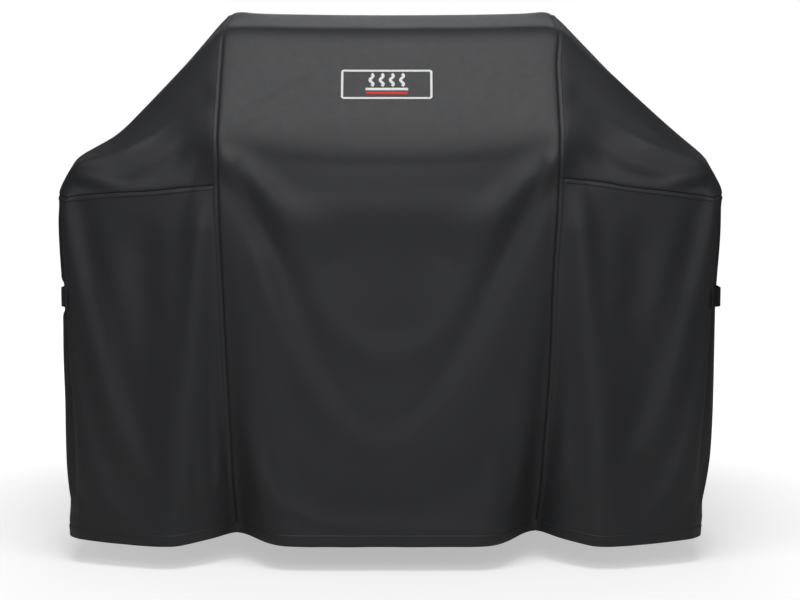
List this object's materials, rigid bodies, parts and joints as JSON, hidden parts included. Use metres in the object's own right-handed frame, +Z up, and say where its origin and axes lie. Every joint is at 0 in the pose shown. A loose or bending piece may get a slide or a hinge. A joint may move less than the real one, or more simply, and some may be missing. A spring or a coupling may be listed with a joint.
{
  "type": "grill cover",
  "caption": "Fitted fabric cover for a gas grill: a boxy hood and front, side panels draped over the side tables, an open hem and hook-and-loop side straps.",
  "frame": {"origin": "on the underside of the cover's top, on the middle plane, just behind the middle of the slope that rests on the grill's hood", "axes": "+X to the right as seen from the front, +Y to the back, +Z up; the front faces -Y"},
  "size_m": [1.3332, 0.5315, 1.0728],
  "materials": {
    "cover_fabric": "coated polyester with a fine plain weave and a slight sheen",
    "strap_webbing": "woven polypropylene webbing, matte",
    "hook_tape": "moulded nylon hooks",
    "loop_tape": "brushed nylon loops",
    "badge_backing": "soft moulded patch",
    "badge_print": "raised off-white print",
    "badge_accent": "raised red print"
  },
  "bodies": {
    "cover": {"front_panel": "cover_fabric", "back_panel": "cover_fabric", "left_shoulder_panel": "cover_fabric", "right_shoulder_panel": "cover_fabric", "left_skirt_panel": "cover_fabric", "right_skirt_panel": "cover_fabric", "left_centre_seam": "cover_fabric", "right_centre_seam": "cover_fabric", "left_table_seam": "cover_fabric", "right_table_seam": "cover_fabric", "ridge_seam": "cover_fabric", "hem_tape": "strap_webbing", "left_front_strap_anchor": "strap_webbing", "left_rear_strap_anchor": "strap_webbing", "right_front_strap_anchor": "strap_webbing", "right_rear_strap_anchor": "strap_webbing", "badge_plate": "badge_backing", "badge_border": "badge_print", "badge_heat_mark": "badge_print", "badge_accent_bar": "badge_accent"},
    "left_front_strap": {"left_front_strap": "strap_webbing", "left_hook_strip": "hook_tape"},
    "left_rear_strap": {"left_rear_strap": "strap_webbing", "left_loop_strip": "loop_tape"},
    "right_front_strap": {"right_front_strap": "strap_webbing", "right_hook_strip": "hook_tape"},
    "right_rear_strap": {"right_rear_strap": "strap_webbing", "right_loop_strip": "loop_tape"}
  },
  "joints": [
    {"name": "left_front_strap_fold", "type": "hinge", "parent": "cover", "child": "left_front_strap", "pos_m": [-0.65836, -0.18257, -0.55677], "axis": [0, 0, 1], "range_deg": [0, 150]},
    {"name": "left_rear_strap_fold", "type": "hinge", "parent": "cover", "child": "left_rear_strap", "pos_m": [-0.65386, 0.22743, -0.55677], "axis": [0, 0, -1], "range_deg": [0, 75]},
    {"name": "right_front_strap_fold", "type": "hinge", "parent": "cover", "child": "right_front_strap", "pos_m": [0.65836, -0.18257, -0.55677], "axis": [0, 0, -1], "range_deg": [0, 150]},
    {"name": "right_rear_strap_fold", "type": "hinge", "parent": "cover", "child": "right_rear_strap", "pos_m": [0.65386, 0.22743, -0.55677], "axis": [0, 0, 1], "range_deg": [0, 75]}
  ],
  "couplings": [
    {"joint": "left_rear_strap_fold", "follows": "left_front_strap_fold", "ratio": 0.5},
    {"joint": "right_rear_strap_fold", "follows": "right_front_strap_fold", "ratio": 0.5}
  ]
}
